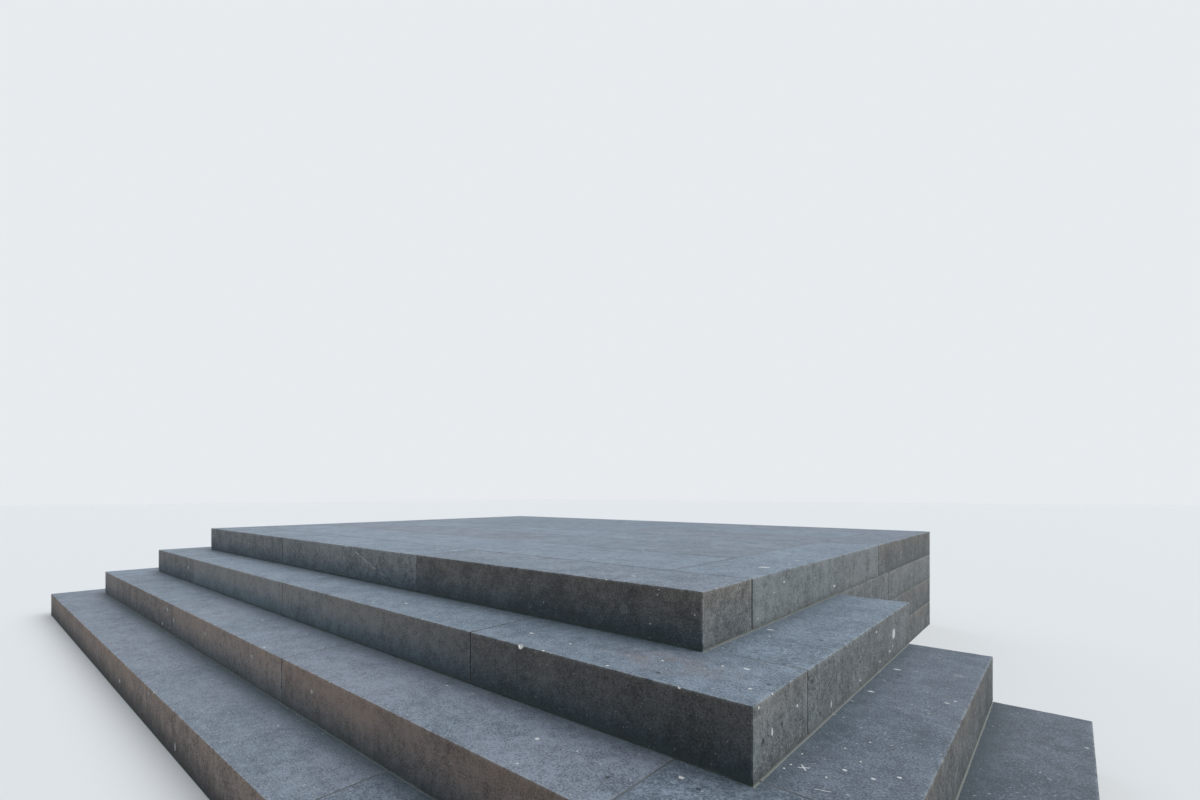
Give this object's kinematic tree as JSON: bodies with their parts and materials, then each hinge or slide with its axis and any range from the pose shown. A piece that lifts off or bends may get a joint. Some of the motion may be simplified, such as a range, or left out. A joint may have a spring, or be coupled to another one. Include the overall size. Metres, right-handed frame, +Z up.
{
  "type": "outdoor stone steps",
  "caption": "Wrap-around outdoor steps of solid dark limestone blocks, rising on three sides to a paved landing against a house wall.",
  "frame": {"origin": "on the ground, in the middle of the whole outline", "axes": "+X along the house wall, to the right for someone facing the door; +Y from the bottom step towards the wall; +Z up"},
  "size_m": [5.81, 3.895, 0.64],
  "materials": {
    "step_stone": "honed dark blue-grey limestone with saw marks, white fossil flecks and worn arrises",
    "landing_paving": "honed blue-grey limestone slabs, weathered and mottled",
    "mortar": "pale grey lime mortar, rough and stained",
    "masonry_core": "plain rough masonry core, unseen in use"
  },
  "bodies": {
    "root": {"core_of_steps": "masonry_core", "core_of_podium": "masonry_core", "bottom_step_front_1": "step_stone", "bottom_step_front_2": "step_stone", "bottom_step_front_3": "step_stone", "bottom_step_front_4": "step_stone", "bottom_step_left": "step_stone", "bottom_step_right": "step_stone", "second_step_front_1": "step_stone", "second_step_front_2": "step_stone", "second_step_front_3": "step_stone", "second_step_front_4": "step_stone", "second_step_front_5": "step_stone", "second_step_left": "step_stone", "second_step_right": "step_stone", "third_step_front_1": "step_stone", "third_step_front_2": "step_stone", "third_step_front_3": "step_stone", "third_step_front_4": "step_stone", "third_step_left": "step_stone", "third_step_right": "step_stone", "landing_front_1": "step_stone", "landing_front_2": "step_stone", "landing_front_3": "step_stone", "landing_left_1": "step_stone", "landing_left_2": "step_stone", "landing_right_1": "step_stone", "landing_right_2": "step_stone", "end_blocks_left": "step_stone", "end_blocks_right": "step_stone", "side_wall_left": "step_stone", "side_wall_right": "step_stone", "slab_row_1": "landing_paving", "slab_row_2": "landing_paving", "slab_row_3": "landing_paving", "slab_row_4": "landing_paving", "slab_row_5": "landing_paving", "slab_row_6": "landing_paving", "mortar_bottom_step": "mortar", "mortar_second_step": "mortar", "mortar_third_step": "mortar", "mortar_landing": "mortar"}
  },
  "joints": []
}
